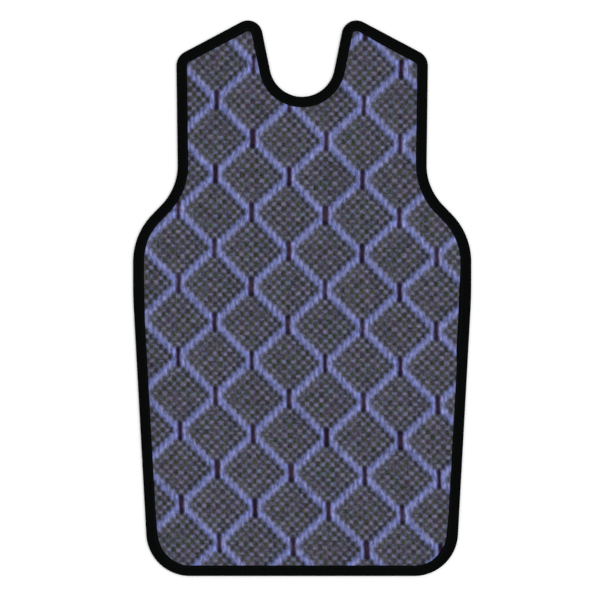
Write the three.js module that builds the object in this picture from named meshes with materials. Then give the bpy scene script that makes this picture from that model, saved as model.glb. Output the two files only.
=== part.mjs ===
// A lead x-ray apron, lying flat with its patterned face up.
// Millimetres: +X across the apron, +Y from the hem to the neck, +Z up out of the patterned face.
// The origin is on the surface that the apron lies on, under the middle of its length and width.
import * as THREE from "three";

// Driving dimensions of the cut
const APRON_LENGTH = 1002; // hem to the tops of the shoulder tabs
const APRON_WIDTH = 610; // across the hips
const TAB_POINT_RISE = 13.5; // sharp corner of a tab above its rounded top

// Thickness of each layer, and the clearance left between layers
const CLOTH = 1;
const TAPE = 1;
const LEAD = 2;
const GAP = 0.3;

// Distances in from the edge of the apron
const CLOTH_EDGE = 2.5; // where both cloths end, inside the fold of the binding
const TAPE_CROWN = 8; // where the binding stands highest
const STITCH_LINE = 15; // where the binding is sewn down
const TAPE_EDGE = 18; // where the binding ends
const SLOPE_START = 19; // where the cloths begin to part round the lead
const LEAD_EDGE = 25; // where the cloths are fully apart and the lead begins
const CROWN_RISE = 0.4; // of the binding over its stitched edge

// Levels of the pressed layers inside the binding, from the floor up
const BACK_IN_BINDING = TAPE + GAP;
const FACE_IN_BINDING = BACK_IN_BINDING + CLOTH + GAP;
const UPPER_TAPE = FACE_IN_BINDING + CLOTH + GAP;
const BINDING_TOP = UPPER_TAPE + TAPE;

// Levels of the layers inside the apron, with the lead between the cloths
const LEAD_LEVEL = CLOTH + GAP;
const FACE_LEVEL = LEAD_LEVEL + LEAD + GAP;

// Facets round the fold of the binding, on its outer and its inner side
const OUTER_FOLD_STEPS = 6;
const INNER_FOLD_STEPS = 4;

// Least rounding of a corner that is moved in past its own radius
const LEAST_RADIUS = 3;

// Sharp corners of the cut, from the neck round one side to the hem, and how each is rounded.
// x: from the middle line, y: above the hem, radius: of the rounding, steps: facets round it.
const CUT_CORNERS = [
  { corner: "neck", x: 0, y: 628, radius: 59, steps: 16 },
  { corner: "shoulder_tab", x: 79, y: APRON_LENGTH + TAB_POINT_RISE, radius: 26.5, steps: 8 },
  { corner: "shoulder", x: 227, y: 937, radius: 28, steps: 6 },
  { corner: "armhole", x: 224, y: 700, radius: 103, steps: 8 },
  { corner: "hip", x: APRON_WIDTH / 2, y: 616, radius: 123, steps: 8 },
  { corner: "skirt", x: APRON_WIDTH / 2, y: 504, radius: 980, steps: 3 },
  { corner: "hem", x: 277, y: 0, radius: 79, steps: 8 },
];

// Colours and finishes of the pieces
const FACE_FINISH = { color: 0x4e4f63, roughness: 0.9, metalness: 0 };
const BACK_FINISH = { color: 0x1b1c20, roughness: 0.85, metalness: 0 };
const LEAD_FINISH = { color: 0x5c5f63, roughness: 0.6, metalness: 0 };
const BINDING_FINISH = { color: 0x090a0b, roughness: 0.8, metalness: 0 };

// The sharp corners all round the cut, anticlockwise from the neck, about the apron's middle.
function cutCorners() {
  const centred = CUT_CORNERS.map((row) => ({ ...row, y: row.y - APRON_LENGTH / 2 }));
  const [neck, ...oneSide] = centred;
  const otherSide = oneSide.map((row) => ({ ...row, x: -row.x }));
  return [neck, ...otherSide, ...oneSide.reverse()];
}

// The points of one rounded corner of the cut, moved in from the edge by an inset.
function roundedCorner(before, at, after, inset) {
  const point = new THREE.Vector2(at.x, at.y);
  const back = new THREE.Vector2(before.x, before.y).sub(point).normalize();
  const ahead = new THREE.Vector2(after.x, after.y).sub(point).normalize();
  const half = Math.acos(back.dot(ahead)) / 2;
  const bulge = Math.sign(ahead.cross(back)); // 1 where the corner points out, -1 where it points in
  const radius = Math.max(at.radius - bulge * inset, LEAST_RADIUS);

  const middle = back.clone().add(ahead).normalize();
  const moved = point.clone().addScaledVector(middle, (bulge * inset) / Math.sin(half));
  const centre = moved.clone().addScaledVector(middle, radius / Math.sin(half));
  const start = moved.clone().addScaledVector(back, radius / Math.tan(half)).sub(centre);
  const turn = bulge * (Math.PI - 2 * half);

  const points = [];
  for (let step = 0; step <= at.steps; step += 1) {
    const angle = start.angle() + (turn * step) / at.steps;
    points.push(new THREE.Vector2(Math.cos(angle), Math.sin(angle)).multiplyScalar(radius).add(centre));
  }
  return points;
}

// The edge of the cut, anticlockwise, moved in by an inset.
function cutEdge(inset) {
  const corners = cutCorners();
  const count = corners.length;
  return corners.flatMap((corner, i) =>
    roundedCorner(corners[(i + count - 1) % count], corner, corners[(i + 1) % count], inset),
  );
}

// A solid whose section, a list of insets and levels, runs all the way round the cut.
// The section starts under the solid and goes out and up. An open one is capped at both ends.
function sweepRoundCut(section, isOpen) {
  const rings = section.map(({ inset, level }) =>
    cutEdge(inset).map(({ x, y }) => new THREE.Vector3(x, y, level)),
  );
  const count = rings[0].length;
  const index = [];
  const bands = isOpen ? rings.length - 1 : rings.length;
  for (let band = 0; band < bands; band += 1) {
    const from = band * count;
    const to = ((band + 1) % rings.length) * count;
    for (let i = 0; i < count; i += 1) {
      const next = (i + 1) % count;
      index.push(from + i, from + next, to + next);
      index.push(from + i, to + next, to + i);
    }
  }
  if (isOpen) {
    const last = (rings.length - 1) * count;
    for (const [a, b, c] of THREE.ShapeUtils.triangulateShape(rings[0], [])) {
      index.push(c, b, a);
    }
    for (const [a, b, c] of THREE.ShapeUtils.triangulateShape(rings.at(-1), [])) {
      index.push(last + a, last + b, last + c);
    }
  }
  const geometry = new THREE.BufferGeometry();
  const positions = rings.flat().flatMap((point) => point.toArray());
  geometry.setAttribute("position", new THREE.Float32BufferAttribute(positions, 3));
  geometry.setIndex(index);
  geometry.computeVertexNormals();
  return geometry;
}

// A cloth that lies at one level over the lead and slopes to another where the binding holds it.
function clothGeometry(panelLevel, edgeLevel) {
  const underside = [
    { inset: LEAD_EDGE, level: panelLevel },
    { inset: SLOPE_START, level: edgeLevel },
    { inset: CLOTH_EDGE, level: edgeLevel },
  ];
  const upperSide = underside.map(({ inset, level }) => ({ inset, level: level + CLOTH }));
  return sweepRoundCut([...underside, ...upperSide.reverse()], true);
}

// The flat lead-filled sheet between the cloths.
function leadGeometry() {
  const section = [
    { inset: LEAD_EDGE, level: LEAD_LEVEL },
    { inset: LEAD_EDGE, level: LEAD_LEVEL + LEAD },
  ];
  return sweepRoundCut(section, true);
}

// One side of the folded tape at the very edge of the apron, from below round to above.
function tapeFold(radius, steps) {
  const middle = BINDING_TOP / 2;
  const points = [];
  for (let step = 0; step <= steps; step += 1) {
    const angle = Math.PI * (step / steps - 1 / 2);
    points.push({ inset: middle - radius * Math.cos(angle), level: middle + radius * Math.sin(angle) });
  }
  return points;
}

// The tape folded over the edge of the apron, flat below and softly crowned above.
function bindingGeometry() {
  const outerRadius = BINDING_TOP / 2;
  const outside = [
    { inset: TAPE_EDGE, level: 0 },
    ...tapeFold(outerRadius, OUTER_FOLD_STEPS),
    { inset: TAPE_CROWN, level: BINDING_TOP + CROWN_RISE },
    { inset: STITCH_LINE, level: BINDING_TOP },
    { inset: TAPE_EDGE, level: BINDING_TOP },
  ];
  const inside = [
    { inset: TAPE_EDGE, level: UPPER_TAPE },
    { inset: STITCH_LINE, level: UPPER_TAPE },
    { inset: TAPE_CROWN, level: UPPER_TAPE + CROWN_RISE },
    ...tapeFold(outerRadius - TAPE, INNER_FOLD_STEPS).reverse(),
    { inset: TAPE_EDGE, level: TAPE },
  ];
  return sweepRoundCut([...outside, ...inside], false);
}

function piece(name, geometry, finish) {
  const mesh = new THREE.Mesh(geometry, new THREE.MeshStandardMaterial(finish));
  mesh.name = name;
  return mesh;
}

const apron = new THREE.Group();
apron.name = "lead_apron";
apron.add(
  piece("back_cloth", clothGeometry(0, BACK_IN_BINDING), BACK_FINISH),
  piece("lead_sheet", leadGeometry(), LEAD_FINISH),
  piece("face_cloth", clothGeometry(FACE_LEVEL, FACE_IN_BINDING), FACE_FINISH),
  piece("edge_binding", bindingGeometry(), BINDING_FINISH),
);

export default apron;
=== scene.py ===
"""A lead x-ray apron lying flat, patterned face up, dressed with its cloth, tape and thread."""
import math
from collections import namedtuple

import bmesh
import bpy
import numpy as np
from mathutils import Matrix, Vector
from mathutils.kdtree import KDTree


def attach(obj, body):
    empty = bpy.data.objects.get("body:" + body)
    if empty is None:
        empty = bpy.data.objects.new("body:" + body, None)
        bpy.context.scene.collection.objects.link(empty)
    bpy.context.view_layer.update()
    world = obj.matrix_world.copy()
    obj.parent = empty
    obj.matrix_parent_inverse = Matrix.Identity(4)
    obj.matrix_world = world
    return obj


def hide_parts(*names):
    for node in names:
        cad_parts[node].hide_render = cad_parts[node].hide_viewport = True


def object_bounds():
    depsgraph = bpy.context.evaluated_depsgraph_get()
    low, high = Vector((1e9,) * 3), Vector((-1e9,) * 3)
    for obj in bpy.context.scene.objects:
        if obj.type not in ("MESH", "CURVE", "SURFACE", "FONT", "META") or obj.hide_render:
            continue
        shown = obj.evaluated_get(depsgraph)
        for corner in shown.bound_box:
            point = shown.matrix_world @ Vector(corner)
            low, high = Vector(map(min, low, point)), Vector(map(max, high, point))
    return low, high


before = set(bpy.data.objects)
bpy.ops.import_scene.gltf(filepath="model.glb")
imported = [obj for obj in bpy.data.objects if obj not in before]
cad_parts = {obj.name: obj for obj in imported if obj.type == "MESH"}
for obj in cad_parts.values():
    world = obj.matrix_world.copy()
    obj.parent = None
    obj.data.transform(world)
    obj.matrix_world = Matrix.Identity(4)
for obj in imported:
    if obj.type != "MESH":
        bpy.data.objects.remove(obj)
CAD_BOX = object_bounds()
MM = 0.001

# The cut of the apron, as its solids have it
APRON_WIDTH = CAD_BOX[1].x - CAD_BOX[0].x
APRON_LENGTH = CAD_BOX[1].y - CAD_BOX[0].y
TAB_POINT_RISE = 13.5 * MM
# x from the middle, y above the hem and radius of the rounding of each corner of one half
CUT_CORNERS = (
    ("neck", 0, 628 * MM, 59 * MM),
    ("shoulder_tab", 79 * MM, APRON_LENGTH + TAB_POINT_RISE, 26.5 * MM),
    ("shoulder", 227 * MM, 937 * MM, 28 * MM),
    ("armhole", 224 * MM, 700 * MM, 103 * MM),
    ("hip", APRON_WIDTH / 2, 616 * MM, 123 * MM),
    ("skirt", APRON_WIDTH / 2, 504 * MM, 980 * MM),
    ("hem", 277 * MM, 0, 79 * MM),
)
CUT_STEP = 1 * MM  # between the points round a corner of the cut
FINDER_POINTS = 3000  # round the cut, by which places near it are found
AREA_POINTS = 2000  # round the cut, by which its area is measured

# Layers: thickness, levels of the undersides and distances in from the edge
CLOTH = 1 * MM
TAPE = 1 * MM
BACK_IN_BINDING = 1.3 * MM
FACE_IN_BINDING = 2.6 * MM
UPPER_TAPE = 3.9 * MM
BINDING_TOP = 4.9 * MM
FACE_LEVEL = 3.6 * MM
CLOTH_EDGE = 2.5 * MM
TAPE_EDGE = 19.2 * MM
SLOPE_START = 19 * MM
LEAD_EDGE = 25 * MM
BACK_STATIONS = 600  # vertices round the plain back
SLOPE_STEPS = 7  # rings on its slope

# The woven pattern: half a repeat is eight columns and eight rows
HALF_REPEAT = 8
COLUMN = 8.277 * MM
ROW = 8.326 * MM
BAR_AT = Vector((-91.46, 21.12)) * MM  # middle of the bar that the columns and rows count from
ROW_DROP = 0.354 * MM  # rows run downhill to the right, by this much a column
COLUMN_LEAN = -0.022 * MM  # sideways, for each row
# how the cloth lies out of square: metres for each column or row, squared or one times the other
COLUMN_BOW = 0.00232 * MM
COLUMN_SPREAD = 0.00137 * MM
ROW_FAN = 0.00106 * MM
ROW_ARCH = 0.00054 * MM
ROW_SPREAD = 0.00034 * MM
DIAMOND_SWELL = 0.2  # columns by which the ground pushes the trellis aside
SPARE_COLUMNS = 3  # of cloth at each side, before it is trimmed
SPARE_ROWS = 6  # the same, above and below
TRIM_MARGIN = 1 * MM  # between the edge of the cloth and the grid trimmed to it
COLUMN_STEPS = 4  # faces to a column
ROW_STEPS = 3  # faces to a row
RIM_STEP = 0.5 * MM  # least distance along the cut between vertices of a rim

# Relief of the yarns: heights about the cloth's upper side
GROUND_SHOWS, TRELLIS_SHOWS, BAR_SHOWS = range(3)  # what lies on top at a square
TRELLIS_ROWS = 1  # that a trellis strand floats over, above and below its middle
BAR_ROWS = 2  # the same, for a bar
GROOVE = -0.4 * MM
TRELLIS_RISE = 0.8 * MM
BAR_RISE = 0.65 * MM
WARP_RISE = 0.7 * MM
WEFT_RISE = 0.55 * MM
RISE_RANGE = (0.85, 1.1)  # least and most share of its rise that a yarn has, by chance
RISE_DRAWS = 512  # columns and rows before these shares repeat
RISE_SEED = 7
YARN_FLATNESS = 2.5  # higher is flatter on top
ROW_START = 0.1  # share of a row in which a float passes from the row before
FLOAT_LEVEL = 0.9  # least share of its rise that a float keeps
RELIEF_START = 17 * MM  # distances in from the edge over which the relief rises
RELIEF_FULL = 27 * MM

# What shows in the woven finish, in columns and rows
YARNS = 6  # to a square, either way
SOFT_SIDE = 0.4  # columns over which a strand fades, on either side of its own side
SOFT_END = 0.45  # rows over which a strand fades, on either side of its end
FLOAT_REACH = 1.14  # rows that a trellis strand floats over, above and below its middle
TIP_REACH = (1.3, 2.5)  # columns over which the trellis fades into the left tip of a diamond
TIP_TRELLIS = 0.45  # how much trellis shows in that tip
BAR_REACH = 2.3  # rows that a bar floats over, above and below its middle
BAR_SIDE = 0.59  # columns from a bar's middle to its side
BAR_STRAY = 0.3  # columns by which bars stray in place and width
BAR_FOOT = (-2.2, -0.6)  # rows from a bar's middle over which the painted shade at its foot fades in
BAR_HEAD = (0.6, 2.0)  # the same, for its head
UNEVEN = 0.6  # how far the squares of the ground stray, in squares
DRIFT_SCALE = 0.5  # of the noise that moves them
DRIFT_LAYER = 3  # keeps that noise apart from the mottle
WEFT_REACH = 0.12  # how far the weft spots spread sideways
WEFT_SHRINK = 1.85  # higher is smaller weft spots
WEFT_CLEAR = (1.0, 2.0)  # rows from the trellis over which the weft spots begin
PAINTED_LIGHT_REACH = (1.0, 4.8)  # rows in from the left sides of a diamond over which its painted light fades
PAINTED_LIGHT_SHARE = 0.7  # how far the ground there takes on its painted light
PAINTED_SHADE_REACH = (1.0, 5.0)  # rows in from its right sides over which the painted shade beside the trellis ends
FLECK_REACH = (0.05, 0.5)  # columns left of a square's middle over which its beige fleck grows
LEAST_MARK = 0.5  # how much of a fleck or a dark foot always shows
CHANCE_MARK = 0.6  # how much of a fleck or of the painted shade at a bar's foot always shows
SIDE_PAINTED_LIGHT_AND_SHADE = 0.4  # how far a strand beside the ground takes on painted shade at the left of the trellis and painted light at its right
BESIDE_BAR = 0.1  # how much paler a strand beside a bar is

# How uneven the dye and the yarns are, as shares of the colour
MOTTLE = 1.9  # in blotches smaller than a square
MOTTLE_SCALE = 2.3
SQUARE_STRAY = 0.5  # from square to square
STREAK = 2.2  # along the strands of the trellis
STREAK_FINE, STREAK_LONG = 1.9, 0.65  # streaks to a column and to a row
STREAK_HIDES = 0.82  # how much of the mottle the streaks hide
FUZZ = 0.6
FUZZ_FINE, FUZZ_LONG = 7, 1.6  # fibres to a square, across and along a yarn
# Painted shade in the gaps between yarns
GAP_PAINTED_SHADE = 0.3
GAP_MEAN = 5 / 16  # mean darkness of the gaps between yarns
TRELLIS_CALM = 0.5  # how much of the fuzz and the gaps the trellis hides
WEAVE_BUMP = 0.15 * MM

# Sewing and the folded tape
STITCH_PITCH = 4 * MM
STITCH_LENGTH = 3.3 * MM
THREAD = 0.55 * MM
STITCH_LINE = 16.2 * MM  # in from the edge
FRONT_STITCH_LEVEL = BINDING_TOP - 0.02 * MM
BACK_STITCH_LEVEL = 0.16 * MM
STATIONS = 3  # vertices along the tape, to a stitch
STITCH_PULL = 0.16 * MM  # depth of the dip at each stitch
PULL_REACH = 1.6 * MM  # how far to each side of the stitches the dip reaches
OUTER_FOLD_STEPS = 10
INNER_FOLD_STEPS = 6
UPPER_SIDE = BINDING_TOP - 0.5 * MM  # the tape above this level is its upper side
FOLD_REACH = 3 * MM  # in from the edge, where the fold ends
TAPE_STRAY = 0.25 * MM  # how far the tape's width strays
TAPE_WAVE = 0.12 * MM  # how far its upper side rises and sinks
TAPE_KNOTS = 120  # places round the cut between which it strays
TAPE_SEED = 11
# where the tape is folded wider or narrower: middle and reach along the cut, extra width
TAPE_WIDER = (
    ("left_shoulder", 335 * MM, 60 * MM, 0.9 * MM),
    ("left_hip", 835 * MM, 40 * MM, 1 * MM),
    ("left_hem_corner", 1335 * MM, 25 * MM, 1.8 * MM),
    ("hem", 1630 * MM, 200 * MM, -2.1 * MM),
    ("right_hem_corner", 1915 * MM, 20 * MM, 1.6 * MM),
    ("right_hip", 2330 * MM, 50 * MM, 2.5 * MM),
    ("right_armhole", 2510 * MM, 50 * MM, 0.6 * MM),
    ("right_shoulder", 2870 * MM, 25 * MM, 1.8 * MM),
    ("right_of_neck", 3020 * MM, 30 * MM, -1.5 * MM),
)
TAPE_EASE = 50 * MM  # along the cut, over which the width changes

# Threads and wear of the plainer finishes
TAPE_RIB = 1.3 * MM
TAPE_THREAD = 0.6 * MM
TAPE_FUZZ = 900  # fibres to a metre
TAPE_BUMP = 0.12 * MM
THREAD_TWIST = 1400  # twists to a metre
BACK_THREAD = 1.1 * MM
BACK_WEAR = 9  # worn patches to a metre
BACK_BUMP = 0.1 * MM
LEAD_MOTTLE = 60  # blotches to a metre
LEAD_BUMP = 0.1 * MM

# The room: a floor that no view sees the end of, even light and one wide lamp
FLOOR_RADIUS = 200
FLOOR_LEVEL = -0.2 * MM
ROOM_LIGHT = 0.72
LAMP_LIGHT = 1.35
LAMP_SPREAD = math.radians(60)
LAMP_WAY = Vector((-0.45, -0.15, -0.9))

# The camera: the picture's width at the cloth, and where the picture's middle falls on it
LENS = 85
SENSOR = 36
PICTURE_WIDTH = 1081 * MM
PICTURE_MIDDLE = Vector((-3.94, -3.26)) * MM


def linear(red, green, blue):
    """A colour as the eye names it, 0 to 255, as the renderer counts light."""
    def light(value):
        value /= 255
        return value / 12.92 if value <= 0.04045 else ((value + 0.055) / 1.055) ** 2.4
    return (light(red), light(green), light(blue), 1)


# Colours of the ground: warp and weft as dyed, with painted shade at the right and painted light at
# the left
OLIVE_WARP = linear(46, 55, 36)
PLUM_WARP = linear(56, 48, 59)
PAINTED_SHADE_WARP = linear(41, 43, 43)
PAINTED_LIGHT_WARP = linear(66, 66, 66)
BLUE_WEFT = linear(88, 97, 131)
LILAC_WEFT = linear(105, 97, 128)
PAINTED_SHADE_WEFT = linear(99, 100, 133)
PAINTED_LIGHT_WEFT = linear(98, 99, 127)
BEIGE_FLECK = linear(97, 94, 84)
TIP_WEFT = linear(112, 114, 150)  # at the top and bottom tips of a diamond

# Colours of the trellis and its bars: dyes, with painted shade in the grooves, at the trellis's left
# and at the bars' ends, and painted light at the trellis's right
BLUE_STRAND = linear(107, 117, 176)
LILAC_STRAND = linear(119, 123, 172)
STRAND_GROOVE_PAINTED_SHADE = linear(100, 107, 162)
STRAND_PAINTED_SHADE = linear(84, 90, 132)
STRAND_PAINTED_LIGHT = linear(122, 120, 142)
MAROON_BAR = linear(31, 11, 34)
FADED_BAR = linear(51, 36, 52)
BAR_END_PAINTED_SHADE = linear(17, 8, 22)

# Darkest and palest shade of each plainer finish
TAPE_SHADES = (linear(3, 4, 4), linear(9, 10, 10))
THREAD_SHADES = (linear(6, 7, 8), linear(20, 21, 22))
BACK_SHADES = (linear(22, 23, 27), linear(40, 41, 47))
LEAD_SHADES = (linear(84, 87, 90), linear(112, 114, 117))
FLOOR_SHADE = linear(251, 251, 251)


class Wire:
    """A value inside a finish. Python's operators on it add Math nodes."""

    def __init__(self, finish, socket):
        self.finish = finish
        self.socket = socket

    def math(self, operation, *values):
        return self.finish.node("Math", {"operation": operation}, *values)

    def __add__(self, other):
        return self.math("ADD", self, other)

    def __radd__(self, other):
        return self.math("ADD", other, self)

    def __sub__(self, other):
        return self.math("SUBTRACT", self, other)

    def __rsub__(self, other):
        return self.math("SUBTRACT", other, self)

    def __mul__(self, other):
        return self.math("MULTIPLY", self, other)

    def __rmul__(self, other):
        return self.math("MULTIPLY", other, self)

    def __truediv__(self, other):
        return self.math("DIVIDE", self, other)

    def __pow__(self, other):
        return self.math("POWER", self, other)

    def __lt__(self, other):
        return self.math("LESS_THAN", self, other)

    def __abs__(self):
        return self.math("ABSOLUTE", self)

    def floor(self):
        return self.math("FLOOR", self)

    def fraction(self):
        return self.math("FRACT", self)

    def least(self, other):
        return self.math("MINIMUM", self, other)

    def sine(self):
        return self.math("SINE", self)

    def to_and_fro(self, top):
        return self.math("PINGPONG", self, top)


class Finish:
    """A material on a Principled shader, built up from nodes."""

    def __init__(self, name, **constants):
        self.material = bpy.data.materials.new(name)
        self.material.use_nodes = True
        self.tree = self.material.node_tree
        self.shader = self.tree.nodes["Principled BSDF"]
        for socket, value in constants.items():
            self.shader.inputs[socket.replace("_", " ")].default_value = value

    def node(self, kind, settings, *values, output=0, **sockets):
        """Adds a node, sets it up, and gives one of its outputs."""
        node = self.tree.nodes.new("ShaderNode" + kind)
        for setting, value in settings.items():
            setattr(node, setting, value)
        by_name = {socket.identifier: socket for socket in node.inputs}
        pairs = list(zip(node.inputs, values))
        pairs += [(by_name[name], value) for name, value in sockets.items()]
        for socket, value in pairs:
            self.link(value, socket)
        outputs = {socket.identifier: socket for socket in node.outputs}
        return Wire(self, outputs[output] if isinstance(output, str) else node.outputs[output])

    def link(self, value, socket):
        if isinstance(value, Wire):
            self.tree.links.new(value.socket, socket)
        else:
            socket.default_value = value

    def feed(self, socket, wire):
        self.link(wire, self.shader.inputs[socket])

    def mix(self, share, first, second, blend="MIX"):
        settings = {"data_type": "RGBA", "blend_type": blend}
        return self.node("Mix", settings, output="Result_Color",
                         Factor_Float=share, A_Color=first, B_Color=second)

    def vector(self, x, y, z=0):
        return self.node("CombineXYZ", {}, x, y, z)

    def noise(self, vector, scale, detail, output="Fac"):
        return self.node("TexNoise", {}, output=output, Vector=vector, Scale=scale, Detail=detail)

    def chance(self, column, row):
        """Three values from 0 to 1, drawn anew for each column and row."""
        draw = self.node("TexWhiteNoise", {"noise_dimensions": "2D"}, output="Color",
                         Vector=self.vector(column, row))
        return self.split(draw)

    def soft_step(self, value, low, high):
        """0 below low, 1 above high, and smooth between them."""
        return self.node("MapRange", {"interpolation_type": "SMOOTHSTEP"}, value, low, high)

    def clamp(self, value):
        return self.node("Clamp", {}, value)

    def tint(self, colour, amount):
        """A colour made darker or lighter."""
        return self.mix(1.0, colour, self.vector(amount, amount, amount), "MULTIPLY")

    def split(self, vector):
        return [self.node("SeparateXYZ", {}, vector, output=axis) for axis in "XYZ"]

    def uv(self, name):
        return self.split(self.node("UVMap", {"uv_map": name}))

    def place(self):
        """Where a point lies on the piece itself."""
        return self.node("TexCoord", {}, output="Object")

    def bump(self, height, distance, strength):
        self.feed("Normal", self.node("Bump", {}, Strength=strength, Distance=distance, Height=height))


def cut_edge():
    """Close points all round the cut, anticlockwise, with the way into the apron at each."""
    half = [(x, y - APRON_LENGTH / 2, radius) for _, x, y, radius in CUT_CORNERS]
    other = [(-x, y, radius) for x, y, radius in half[1:]]
    corners = [half[0], *other, *reversed(half[1:])]
    points, inward = [], []
    for i, (x, y, radius) in enumerate(corners):
        at = Vector((x, y))
        back = (Vector(corners[i - 1][:2]) - at).normalized()
        ahead = (Vector(corners[(i + 1) % len(corners)][:2]) - at).normalized()
        spread = math.acos(back.dot(ahead)) / 2
        bulge = math.copysign(1, ahead.cross(back))
        centre = at + (back + ahead).normalized() * (radius / math.sin(spread))
        start = at + back * (radius / math.tan(spread)) - centre
        turn = bulge * (math.pi - 2 * spread)
        steps = max(2, round(abs(turn) * radius / CUT_STEP))
        for step in range(steps + 1):
            angle = math.atan2(start.y, start.x) + turn * step / steps
            out = Vector((math.cos(angle), math.sin(angle)))
            points.append(centre + out * radius)
            inward.append(-bulge * out)
    points, inward = np.array(points), np.array(inward)
    lengths = np.linalg.norm(np.roll(points, -1, 0) - points, axis=1)
    return points, inward, np.concatenate([[0], np.cumsum(lengths)])


EDGE_POINTS, EDGE_INWARD, EDGE_ALONG = cut_edge()
PERIMETER = EDGE_ALONG[-1]


def edge_at(along):
    """Points on the edge of the cut, and the way in, at distances along it."""
    def between(values):
        closed = np.vstack([values, values[:1]])
        return np.stack([np.interp(along, EDGE_ALONG, closed[:, k]) for k in (0, 1)], axis=1)
    inward = between(EDGE_INWARD)
    return between(EDGE_POINTS), inward / np.linalg.norm(inward, axis=1, keepdims=True)


def edge_ring(count):
    """Points spaced evenly round the edge of the cut, and the way in at each."""
    return edge_at(np.arange(count) * PERIMETER / count)


def edge_finder():
    """A function that finds how far along the cut's edge and how far in points near it lie."""
    points, inward = edge_ring(FINDER_POINTS)
    tree = KDTree(FINDER_POINTS)
    for i, (x, y) in enumerate(points):
        tree.insert((x, y, 0), i)
    tree.balance()

    def place(spots):
        near = np.array([tree.find((x, y, 0))[1] for x, y in spots])
        offset = np.asarray(spots) - points[near]
        way = inward[near]
        ahead = np.stack([way[:, 1], -way[:, 0]], axis=1)
        along = near * PERIMETER / FINDER_POINTS + np.einsum("ij,ij->i", offset, ahead)
        return along, np.einsum("ij,ij->i", offset, way)
    return place


place_by_edge = edge_finder()


def cloth_area(inset):
    """Area within the cut, less an inset all round."""
    points, inward = edge_ring(AREA_POINTS)
    x, y = (points + inward * inset).T
    return abs(np.dot(x, np.roll(y, -1)) - np.dot(y, np.roll(x, -1))) / 2


def smooth_step(low, high, values):
    share = np.clip((values - low) / (high - low), 0, 1)
    return share * share * (3 - 2 * share)


def to_and_fro(values, top):
    return np.abs((values + top) % (2 * top) - top)


def yarn_on_top(column, row):
    """What shows at each square of the weave."""
    apart = np.abs(to_and_fro(column, HALF_REPEAT) - to_and_fro(row, HALF_REPEAT))
    bar = (column % HALF_REPEAT == 0) & (apart <= BAR_ROWS)
    return np.where(bar, BAR_SHOWS, np.where(apart <= TRELLIS_ROWS, TRELLIS_SHOWS, GROUND_SHOWS))


def lay_of_weave(u, v):
    """Where columns u and rows v of the weave lie on the apron."""
    wave_u, wave_v = (np.pi * w / HALF_REPEAT for w in (u, v))
    u = u - DIAMOND_SWELL * np.sin(wave_u) * np.cos(wave_v)
    v = v - DIAMOND_SWELL * np.sin(wave_v) * np.cos(wave_u)
    x = BAR_AT.x + COLUMN * u + COLUMN_LEAN * v + COLUMN_SPREAD * u * u + COLUMN_BOW * v * v
    y = BAR_AT.y + ROW * v - ROW_DROP * u + ROW_FAN * u * v + ROW_ARCH * u * u + ROW_SPREAD * v * v
    return np.stack([x, y], axis=1)


def weave_relief(u, v):
    """Height of the woven yarns, 0 in the grooves between them."""
    column, row = np.floor(u + 0.5), np.floor(v + 0.5)
    across, along = u + 0.5 - column, v + 0.5 - row
    yarn = yarn_on_top(column, row)
    below = yarn_on_top(column, row - 1)
    floats = yarn != GROUND_SHOWS
    kinds = [yarn == BAR_SHOWS, yarn == TRELLIS_SHOWS, (column + row) % 2 == 0]
    rise = np.select(kinds, [BAR_RISE, TRELLIS_RISE, WARP_RISE], WEFT_RISE)
    over = 1 - np.abs(2 * across - 1) ** YARN_FLATNESS
    arch = 1 - np.abs(2 * along - 1) ** YARN_FLATNESS
    arch = np.where(floats & (yarn == below) & (along < ROW_START), 1, arch)
    arch = np.where(floats & (along > ROW_START), np.maximum(arch, FLOAT_LEVEL), arch)
    share = np.random.default_rng(RISE_SEED).uniform(*RISE_RANGE, (RISE_DRAWS, RISE_DRAWS))
    return rise * over * arch * share[column.astype(int) % RISE_DRAWS, row.astype(int) % RISE_DRAWS]


def cloth_profile(inset, panel_level, edge_level):
    """Level of a cloth's underside, sloping from the binding up or down to the lead."""
    return edge_level + (panel_level - edge_level) * smooth_step(SLOPE_START, LEAD_EDGE, inset)


def piece_from(name, bm, finish, node=None):
    """Puts a bmesh into the scene as a piece that rides on the apron."""
    mesh = bpy.data.meshes.new(name)
    bm.to_mesh(mesh)
    bm.free()
    mesh.polygons.foreach_set("use_smooth", [True] * len(mesh.polygons))
    mesh.materials.append(finish.material)
    piece = bpy.data.objects.new(name, mesh)
    bpy.context.scene.collection.objects.link(piece)
    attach(piece, "root")
    if node:
        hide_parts(node)
    return piece


def trim(bm, verts):
    """Takes vertices and their faces off a sheet, and whatever then hangs by a point or a thread."""
    while verts:
        bmesh.ops.delete(bm, geom=verts, context="VERTS")
        hanging = [edge for edge in bm.edges if edge.is_wire]
        bmesh.ops.delete(bm, geom=hanging, context="EDGES")
        loose = [vert for vert in bm.verts if not vert.link_faces]
        pinched = [vert for vert in bm.verts if sum(edge.is_boundary for edge in vert.link_edges) > 2]
        verts = loose + pinched


def walk_border(bm):
    """The vertices of a sheet's one border, in order."""
    border = [edge for edge in bm.edges if edge.is_boundary]
    vert, edge = border[0].verts[0], border[0]
    walked = []
    for _ in border:
        walked.append(vert)
        vert = edge.other_vert(vert)
        edge = next(e for e in vert.link_edges if e.is_boundary and e is not edge)
    return walked


def mark_border(bm, along):
    """Writes on each border vertex how far along the cut it belongs, never stepping back."""
    walked = walk_border(bm)
    at = place_by_edge([vert.co.xy for vert in walked])[0]
    start = int(np.argmin(at))
    if at[(start + 1) % len(at)] > at[start - 1]:
        walked, at, start = walked[::-1], at[::-1], len(at) - 1 - start
    order = np.arange(len(at)) + start
    at = np.maximum.accumulate(np.round(at[order % len(at)] / RIM_STEP) * RIM_STEP)
    for i, value in zip(order % len(walked), at):
        walked[i][along] = value


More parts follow.
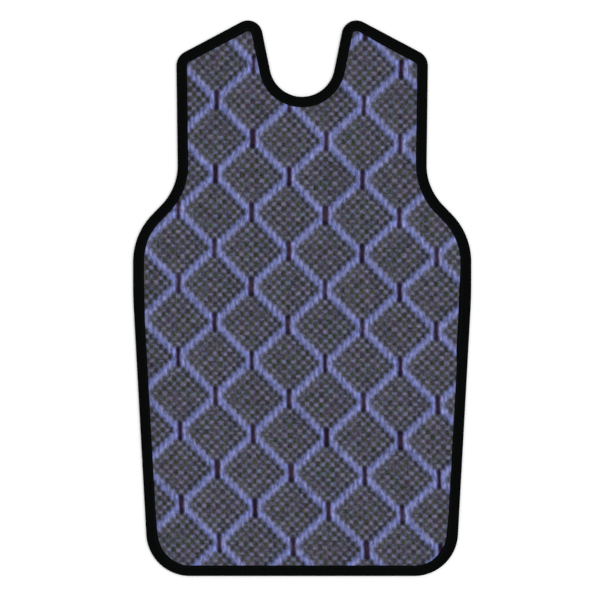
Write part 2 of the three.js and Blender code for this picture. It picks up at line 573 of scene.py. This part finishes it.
def draw_rim(bm, along, depth, level):
    """Draws the border of a sheet out to a given distance in from the cut."""
    border = [edge for edge in bm.edges if edge.is_boundary]
    made = bmesh.ops.extrude_edge_only(bm, edges=border)["geom"]
    verts = [part for part in made if isinstance(part, bmesh.types.BMVert)]
    spots, inward = edge_at(np.array([vert[along] for vert in verts]))
    for vert, spot in zip(verts, spots + inward * depth):
        vert.co = (*spot, level)
    bmesh.ops.remove_doubles(bm, verts=verts, dist=RIM_STEP / 100)


def woven_face(finish):
    """The patterned cloth: a grid laid along the weave, raised into yarns and trimmed to the cut."""
    columns = math.ceil(APRON_WIDTH / COLUMN / 2) + SPARE_COLUMNS
    rows = math.ceil(APRON_LENGTH / ROW / 2) + SPARE_ROWS
    middle = (round(-BAR_AT.x / COLUMN) - 0.5, round(-BAR_AT.y / ROW) - 0.5)
    bm = bmesh.new()
    weave = [bm.verts.layers.float.new(axis) for axis in "uv"]
    along = bm.verts.layers.float.new("along")
    place = Matrix.Translation((*middle, 0)) @ Matrix.Diagonal((columns, rows, 1, 1))
    bmesh.ops.create_grid(bm, x_segments=2 * columns * COLUMN_STEPS, y_segments=2 * rows * ROW_STEPS,
                          size=1, matrix=place)
    grid = np.array([vert.co.xy for vert in bm.verts])
    u = np.round((grid[:, 0] + 0.5) * COLUMN_STEPS) / COLUMN_STEPS - 0.5
    v = np.round((grid[:, 1] + 0.5) * ROW_STEPS) / ROW_STEPS - 0.5
    spots = lay_of_weave(u, v)
    inset = place_by_edge(spots)[1]
    pressed = smooth_step(RELIEF_START, RELIEF_FULL, inset)
    level = cloth_profile(inset, FACE_LEVEL, FACE_IN_BINDING) + CLOTH
    level += pressed * (GROOVE + weave_relief(u, v))
    for vert, spot, z, at in zip(bm.verts, spots, level, zip(u, v)):
        vert.co = (*spot, z)
        vert[weave[0]], vert[weave[1]] = at
    trim(bm, [vert for vert, depth in zip(bm.verts, inset) if depth < CLOTH_EDGE + TRIM_MARGIN])

    # The rim: out to the cut, down, in under the cloth, and filled across the underside
    mark_border(bm, along)
    rim = ((CLOTH_EDGE, FACE_IN_BINDING + CLOTH), (CLOTH_EDGE, FACE_IN_BINDING),
           (SLOPE_START, FACE_IN_BINDING), (LEAD_EDGE, FACE_LEVEL))
    for depth, z in rim:
        draw_rim(bm, along, depth, z)
    bmesh.ops.contextual_create(bm, geom=[edge for edge in bm.edges if edge.is_boundary])
    bmesh.ops.recalc_face_normals(bm, faces=bm.faces)
    uv = bm.loops.layers.uv.new("weave")
    for face in bm.faces:
        for loop in face.loops:
            loop[uv].uv = (loop.vert[weave[0]], loop.vert[weave[1]])
    return piece_from("woven_face", bm, finish, "face_cloth")


def sweep_round_cut(count, section, place):
    """A band all round the cut: a ring of vertices drawn out through the rows of a section."""
    bm = bmesh.new()
    station = bm.verts.layers.int.new("station")
    row_of = bm.verts.layers.int.new("row")
    made = bmesh.ops.create_circle(bm, segments=count, radius=1)["verts"]
    levels = [place(*row) for row in section]
    for i, vert in enumerate(made):
        vert[station] = i
        vert.co = levels[0][i]
    rings = [list(bm.edges)]
    for k in range(1, len(section)):
        geometry = bmesh.ops.extrude_edge_only(bm, edges=rings[-1])["geom"]
        verts = [g for g in geometry if isinstance(g, bmesh.types.BMVert)]
        for vert in verts:
            vert[row_of] = k
            vert.co = levels[k][vert[station]]
        fresh = set(verts)
        rings.append([g for g in geometry if isinstance(g, bmesh.types.BMEdge)
                      and g.verts[0] in fresh and g.verts[1] in fresh])
    return bm, rings


def level_ring(points, inward, inset, z):
    """A ring at one level, an inset in from points on the edge of the cut."""
    return [Vector((x, y, z)) for x, y in points + inward * inset]


def plain_back(finish):
    """The plain cloth of the back, pressed flat against what the apron lies on."""
    points, inward = edge_ring(BACK_STATIONS)
    slope = np.linspace(SLOPE_START, LEAD_EDGE, SLOPE_STEPS)
    levels = cloth_profile(slope, 0, BACK_IN_BINDING)
    under = [*zip(slope[::-1], levels[::-1]), (CLOTH_EDGE, BACK_IN_BINDING)]
    section = under + [(inset, z + CLOTH) for inset, z in reversed(under)]

    def place(inset, z):
        return level_ring(points, inward, inset, z)
    bm, rings = sweep_round_cut(BACK_STATIONS, section, place)
    bmesh.ops.contextual_create(bm, geom=rings[0])
    bmesh.ops.contextual_create(bm, geom=rings[-1])
    bmesh.ops.recalc_face_normals(bm, faces=bm.faces)
    return piece_from("plain_back", bm, finish, "back_cloth")


def tape_section():
    """Insets and levels round the folded tape, from its lower inner edge out, over and back."""
    middle = BINDING_TOP / 2

    def fold(radius, steps):
        turns = [math.pi * (step / steps - 0.5) for step in range(steps + 1)]
        return [(middle - radius * math.cos(t), middle + radius * math.sin(t)) for t in turns]

    # Above, the tape is crowned, dips where it is sewn down and turns in at its edge
    lower = [(17.6 * MM, 0.05 * MM), (STITCH_LINE, 0.15 * MM), (14 * MM, 0), (9 * MM, 0)]
    upper = [(5 * MM, 0.28 * MM), (9 * MM, 0.4 * MM), (13 * MM, 0.28 * MM), (15.2 * MM, 0.04 * MM),
             (STITCH_LINE, -0.12 * MM), (17.2 * MM, 0.02 * MM), (18.6 * MM, -0.02 * MM),
             (TAPE_EDGE, -0.25 * MM)]
    upper = [(inset, BINDING_TOP + rise) for inset, rise in upper]
    under = [(TAPE_EDGE, UPPER_TAPE + 0.1 * MM), (18.6 * MM, UPPER_TAPE), (15.2 * MM, UPPER_TAPE),
             (9 * MM, UPPER_TAPE + 0.3 * MM)]
    inner = fold(middle - TAPE, INNER_FOLD_STEPS)[::-1]
    end = [(17.4 * MM, TAPE), (18 * MM, TAPE / 2)]
    return lower + fold(middle, OUTER_FOLD_STEPS) + upper + under + inner + end


def binding_tape(finish):
    """The black tape folded over the edge, drawn in a little at each stitch."""
    count = STATIONS * round(PERIMETER / STITCH_PITCH)
    stations = np.arange(count)
    points, inward = edge_ring(count)
    draws = np.random.default_rng(TAPE_SEED).uniform(-1, 1, TAPE_KNOTS - 1)
    slow = np.interp(stations, np.linspace(0, count, TAPE_KNOTS), np.resize(draws, TAPE_KNOTS))
    pull = np.where(stations % STATIONS == 0, 1.0, 0.0)
    along = stations * PERIMETER / count
    wider = TAPE_STRAY * slow
    for _, middle, reach, extra in TAPE_WIDER:
        wider = wider + extra * (1 - smooth_step(reach, reach + TAPE_EASE, np.abs(along - middle)))

    def place(inset, z):
        if z <= UPPER_SIDE:
            return level_ring(points, inward, inset, z)
        near_stitch = math.exp(-(((inset - STITCH_LINE) / PULL_REACH) ** 2))
        spread = wider * smooth_step(STITCH_LINE, TAPE_EDGE, inset)
        spots = points + inward * (inset + spread[:, None])
        levels = z - STITCH_PULL * near_stitch * pull
        levels = levels + TAPE_WAVE * slow * (inset > FOLD_REACH)
        return [Vector((x, y, h)) for (x, y), h in zip(spots, levels)]

    section = tape_section()
    bm, rings = sweep_round_cut(count, section, place)
    bmesh.ops.bridge_loops(bm, edges=rings[0] + rings[-1])
    bmesh.ops.recalc_face_normals(bm, faces=bm.faces)
    across = np.concatenate([[0], np.cumsum(np.hypot(*np.diff(np.array(section), axis=0).T))])
    station, row_of = bm.verts.layers.int["station"], bm.verts.layers.int["row"]
    uv = bm.loops.layers.uv.new("tape")
    for face in bm.faces:
        at_corners = [loop.vert[station] for loop in face.loops]
        wraps = max(at_corners) - min(at_corners) > count / 2
        for loop, at in zip(face.loops, at_corners):
            turn = count if wraps and at < count / 2 else 0
            loop[uv].uv = ((at + turn) * PERIMETER / count, across[loop.vert[row_of]])
    return piece_from("binding_tape", bm, finish, "edge_binding")


def stitch_row(name, finish, level):
    """One line of machine stitches round the tape, each a short slug of thread."""
    stitches = round(PERIMETER / STITCH_PITCH)
    points, inward = edge_at((np.arange(stitches) + 0.5) * PERIMETER / stitches)
    slug = bmesh.new()
    bmesh.ops.create_uvsphere(slug, u_segments=6, v_segments=4, radius=0.5)
    shape = np.array([vert.co for vert in slug.verts]) * (THREAD, THREAD, STITCH_LENGTH)
    faces = [[vert.index for vert in face.verts] for face in slug.faces]
    slug.free()

    # There are hundreds, so one slug is copied to every stitch and joined from arrays
    verts, polygons = [], []
    for spot, way in zip(points + inward * STITCH_LINE, inward):
        axes = np.array(((*way, 0), (0, 0, 1), (way[1], -way[0], 0)))
        polygons.extend([[i + len(verts) for i in face] for face in faces])
        verts.extend(shape @ axes + (*spot, level))
    mesh = bpy.data.meshes.new(name)
    mesh.from_pydata(verts, [], polygons)
    bm = bmesh.new()
    bm.from_mesh(mesh)
    bpy.data.meshes.remove(mesh)
    bmesh.ops.recalc_face_normals(bm, faces=bm.faces)
    return piece_from(name, bm, finish)


def swing(place, turns):
    """From 1 at each whole turn of a place to -1 halfway between, and back."""
    return ((place * turns + 0.25) * (2 * math.pi)).sine()


def ripple(place, pitch):
    """From -1 to 1 and back once in each pitch of a place."""
    return (place * (2 * math.pi / pitch)).sine()


def float_over(finish, column, v, reach):
    """Where a strand that lies along one column shows, within its reach."""
    apart = abs(column.to_and_fro(HALF_REPEAT) - v.to_and_fro(HALF_REPEAT))
    return 1 - finish.soft_step(apart, reach - SOFT_END, reach + SOFT_END)


Strand = namedtuple("Strand", ("trellis", "bar", "ground"))


def strand(finish, column, v):
    """How much trellis, bar and ground shows along one column."""
    trellis = float_over(finish, column, v, FLOAT_REACH)
    bar = (column.to_and_fro(HALF_REPEAT / 2) < 0.5) * float_over(finish, column, v, BAR_REACH)
    return Strand(trellis, bar, (1 - trellis) * (1 - bar))


def bar_shows(finish, u, v, bar_column, moved, wider):
    """Where a bar shows. Each strays a little in place and width."""
    aside = abs(u - bar_column * HALF_REPEAT + (moved - 0.5) * BAR_STRAY)
    side = (wider - 0.5) * BAR_STRAY + BAR_SIDE
    within = 1 - finish.soft_step(aside, side - SOFT_SIDE, side + SOFT_SIDE)
    return float_over(finish, bar_column * HALF_REPEAT, v, BAR_REACH) * within


def weft_shows(finish, u, v):
    """Where the weft shows in the ground, in a check whose squares are a little uneven."""
    drift = finish.noise(finish.vector(u, v, DRIFT_LAYER), DRIFT_SCALE, 1.0, output="Color")
    drift_u, drift_v, _ = finish.split(drift)
    check_u, check_v = u + (drift_u - 0.5) * UNEVEN, v + (drift_v - 0.5) * UNEVEN
    check = swing(check_u, 0.5) * swing(check_v, 0.5)
    check = check + (swing(check_u, 1) - swing(check_v, 1)) * WEFT_REACH
    apart = abs(u.to_and_fro(HALF_REPEAT) - v.to_and_fro(HALF_REPEAT))
    return finish.clamp(0.5 - check * 0.5) ** WEFT_SHRINK * finish.soft_step(apart, *WEFT_CLEAR)


def ground_colour(finish, off, rise, fall, weft, dye_dark, dye_light):
    """Warp and weft, with painted light at the left of each diamond and painted shade at its right."""
    from_left = rise.least(fall) * (2 * HALF_REPEAT)
    from_right = (1 - rise).least(1 - fall) * (2 * HALF_REPEAT)
    # Painted light near the left sides of each diamond, painted shade near its right sides
    painted_light = 1 - finish.soft_step(from_left, *PAINTED_LIGHT_REACH)
    painted_shade = 1 - finish.soft_step(from_right, *PAINTED_SHADE_REACH)
    dark = finish.mix(dye_dark, OLIVE_WARP, PLUM_WARP)
    # Warp and weft each take on their painted shade and painted light
    dark = finish.mix(painted_shade, dark, PAINTED_SHADE_WARP)
    dark = finish.mix(painted_light * PAINTED_LIGHT_SHARE, dark, PAINTED_LIGHT_WARP)
    light = finish.mix(dye_light, BLUE_WEFT, LILAC_WEFT)
    light = finish.mix(painted_shade, light, PAINTED_SHADE_WEFT)
    light = finish.mix(painted_light * PAINTED_LIGHT_SHARE, light, PAINTED_LIGHT_WEFT)
    fleck = finish.soft_step(0 - off, *FLECK_REACH) * (dye_dark * CHANCE_MARK + LEAST_MARK)
    light = finish.mix(fleck, light, BEIGE_FLECK)
    light = finish.mix(painted_light * painted_shade, light, TIP_WEFT)
    return finish.mix(weft, dark, light)


def trellis_colour(finish, off, here, left, right, dye_light):
    """Periwinkle strands with painted shade in the grooves between them, painted shade at the left of
    the trellis and painted light at its right.
    """
    band = finish.mix(dye_light, BLUE_STRAND, LILAC_STRAND)
    # Painted shade in the grooves between strands
    band = finish.mix((abs(off) * 2) ** 2, band, STRAND_GROOVE_PAINTED_SHADE)
    # Painted shade on the strands at the left of the trellis, painted light on those at its right
    band = finish.mix(left.ground * here.trellis * SIDE_PAINTED_LIGHT_AND_SHADE, band, STRAND_PAINTED_SHADE)
    band = finish.mix(right.ground * here.trellis * SIDE_PAINTED_LIGHT_AND_SHADE, band, STRAND_PAINTED_LIGHT)
    return finish.tint(band, 1 + (left.bar + right.bar) * BESIDE_BAR)


def bar_colour(finish, above, dark_foot, dark_head, faded):
    """Maroon, more or less faded, with painted shade where it dips under: at its foot, deeper or
    lighter by chance, and at its head only by chance.
    """
    stripe = finish.mix(faded, MAROON_BAR, FADED_BAR)
    # Painted shade at the foot and the head, where the bar dips under
    foot = (1 - finish.soft_step(above, *BAR_FOOT)) * (dark_foot * CHANCE_MARK + LEAST_MARK)
    stripe = finish.mix(foot, stripe, BAR_END_PAINTED_SHADE)
    head = finish.soft_step(above, *BAR_HEAD) * dark_head
    return finish.mix(head, stripe, BAR_END_PAINTED_SHADE)


def woven_finish():
    """Dark warp and lavender weft in a soft check, under the trellis and its bars."""
    finish = Finish("periwinkle_trellis_weave", Roughness=0.9, Specular_IOR_Level=0.1)
    along_u, along_v, _ = finish.uv("weave")
    u, v = (((at * YARNS).floor() + 0.5) / YARNS for at in (along_u, along_v))
    column = (u + 0.5).floor()
    off = u - column
    rise, fall = (((u + slant * v) / (2 * HALF_REPEAT)).fraction() for slant in (1, -1))
    dye_dark, dye_light, depth = finish.chance(column, (v + 0.5).floor())
    bar_column, bar_row = ((at / HALF_REPEAT + 0.5).floor() for at in (u, v))
    dark_foot, dark_head, faded = finish.chance(bar_column, bar_row)

    # The trellis fades from strand to strand, and into the left tips of the diamonds
    here, left, right = (strand(finish, at, v) for at in (column, column - 1, column + 1))
    to_left = finish.soft_step(0 - off, 0.5 - SOFT_SIDE, 0.5 + SOFT_SIDE)
    to_right = finish.soft_step(off, 0.5 - SOFT_SIDE, 0.5 + SOFT_SIDE)
    trellis = here.trellis + (left.trellis - here.trellis) * to_left
    trellis = trellis + (right.trellis - here.trellis) * to_right
    left_tip = 1 - finish.soft_step((rise + fall) * HALF_REPEAT, *TIP_REACH)
    trellis = trellis + (1 - trellis) * left_tip * TIP_TRELLIS
    bar = bar_shows(finish, u, v, bar_column, dark_head, dark_foot)
    weft = weft_shows(finish, u, v)

    # Fine threads run up the warp and across the weft
    across_yarn = weft * (1 - trellis) * (1 - bar)
    up, across = (swing(at + 0.5 / YARNS, YARNS) for at in (along_u, along_v))
    threads = up + (across - up) * across_yarn
    gap = (0.5 - threads * 0.5) ** 3
    fuzz_up = finish.noise(finish.vector(along_u * FUZZ_FINE, along_v * FUZZ_LONG), 1.0, 3.0)
    fuzz_across = finish.noise(finish.vector(along_u * FUZZ_LONG, along_v * FUZZ_FINE), 1.0, 3.0)
    fuzz = fuzz_up + (fuzz_across - fuzz_up) * across_yarn

    ground = ground_colour(finish, off, rise, fall, weft, dye_dark, dye_light)
    band = trellis_colour(finish, off, here, left, right, dye_light)
    stripe = bar_colour(finish, v - bar_row * HALF_REPEAT, dark_foot, dark_head, faded)
    colour = finish.mix(bar, finish.mix(trellis, ground, band), stripe)

    # The dye is uneven: blotched on the ground and streaked on the trellis
    mottle = finish.noise(finish.vector(u, v), MOTTLE_SCALE, 1.0)
    streak = finish.noise(finish.vector(u * STREAK_FINE, v * STREAK_LONG), 1.0, 1.0)
    uneven = (mottle - 0.5) * MOTTLE + (depth - 0.5) * SQUARE_STRAY
    uneven = uneven + ((streak - 0.5) * STREAK - uneven * STREAK_HIDES) * trellis
    # Fibres stray in tone, and the gaps between yarns take painted shade
    yarns = (fuzz - 0.5) * FUZZ + (GAP_MEAN - gap) * GAP_PAINTED_SHADE
    grain = uneven + yarns * (1 - trellis * TRELLIS_CALM)
    finish.feed("Base Color", finish.tint(colour, 1 + grain))
    finish.bump(threads * 0.4 + fuzz, WEAVE_BUMP, 0.6)
    return finish


def tape_finish():
    """Matte black tape, ribbed across and a little fuzzy."""
    finish = Finish("black_binding_tape", Roughness=0.9, Specular_IOR_Level=0.02)
    along, across, _ = finish.uv("tape")
    ribs = ripple(along, TAPE_RIB) * 0.5 + 0.5
    threads = ripple(across, TAPE_THREAD) * 0.5 + 0.5
    fuzz = finish.noise(finish.vector(along * TAPE_FUZZ, across * TAPE_FUZZ), 1.0, 3.0)
    weave = ribs * 0.7 + threads * 0.2 + fuzz * 0.4
    finish.feed("Base Color", finish.mix(weave * 0.8, *TAPE_SHADES))
    finish.bump(weave, TAPE_BUMP, 0.5)
    return finish


def thread_finish():
    """Black sewing thread, with paler twists."""
    finish = Finish("black_thread", Roughness=0.7, Specular_IOR_Level=0.15)
    twist = finish.noise(finish.place(), THREAD_TWIST, 2.0)
    finish.feed("Base Color", finish.mix(twist, *THREAD_SHADES))
    return finish


def back_finish():
    """Plain dark cloth, close woven and a little worn."""
    finish = Finish("plain_dark_back_cloth", Roughness=0.8, Specular_IOR_Level=0.2)
    where = finish.place()
    x, y, _ = finish.split(where)
    weave = ripple(x, BACK_THREAD) * ripple(y, BACK_THREAD) * 0.5 + 0.5
    worn = finish.noise(where, BACK_WEAR, 4.0)
    shade = weave * 0.5 + worn * 0.5
    finish.feed("Base Color", finish.mix(shade, *BACK_SHADES))
    finish.bump(weave, BACK_BUMP, 0.6)
    return finish


def lead_finish():
    """Grey vinyl with lead in it, mottled."""
    finish = Finish("lead_filled_vinyl", Roughness=0.6)
    mottle = finish.noise(finish.place(), LEAD_MOTTLE, 4.0)
    finish.feed("Base Color", finish.mix(mottle, *LEAD_SHADES))
    finish.bump(mottle, LEAD_BUMP, 0.4)
    return finish


def studio():
    """A pale floor, even light with a little more from the right, and the camera overhead."""
    floor = bmesh.new()
    bmesh.ops.create_circle(floor, cap_ends=True, segments=64, radius=FLOOR_RADIUS,
                            matrix=Matrix.Translation((0, 0, FLOOR_LEVEL)))
    mesh = bpy.data.meshes.new("floor")
    floor.to_mesh(mesh)
    floor.free()
    pale = Finish("pale_floor", Roughness=0.9, Specular_IOR_Level=0.0, Base_Color=FLOOR_SHADE)
    mesh.materials.append(pale.material)
    ground = bpy.data.objects.new("floor", mesh)
    bpy.context.scene.collection.objects.link(ground)

    world = bpy.data.worlds.new("soft_room")
    world.use_nodes = True
    room = world.node_tree.nodes["Background"]
    room.inputs["Color"].default_value = (1, 1, 1, 1)
    room.inputs["Strength"].default_value = ROOM_LIGHT
    bpy.context.scene.world = world

    lamp = bpy.data.lights.new("window_light", "SUN")
    lamp.energy = LAMP_LIGHT
    lamp.angle = LAMP_SPREAD
    sun = bpy.data.objects.new("window_light", lamp)
    sun.rotation_euler = LAMP_WAY.to_track_quat("-Z", "Y").to_euler()
    bpy.context.scene.collection.objects.link(sun)

    lens = bpy.data.cameras.new("overhead")
    lens.lens = LENS
    lens.sensor_width = SENSOR
    camera = bpy.data.objects.new("overhead", lens)
    height = PICTURE_WIDTH * LENS / SENSOR
    camera.location = (*PICTURE_MIDDLE, BINDING_TOP + height)
    bpy.context.scene.collection.objects.link(camera)
    bpy.context.scene.camera = camera
    bpy.context.scene.view_settings.view_transform = "Standard"


studio()
face = woven_face(woven_finish())
back = plain_back(back_finish())
tape = binding_tape(tape_finish())
thread = thread_finish()
front_stitches = stitch_row("front_stitches", thread, FRONT_STITCH_LEVEL)
back_stitches = stitch_row("back_stitches", thread, BACK_STITCH_LEVEL)
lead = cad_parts["lead_sheet"]
lead.data.materials.clear()
lead.data.materials.append(lead_finish().material)

cloth_area(CLOTH_EDGE)
cloth_area(CLOTH_EDGE)
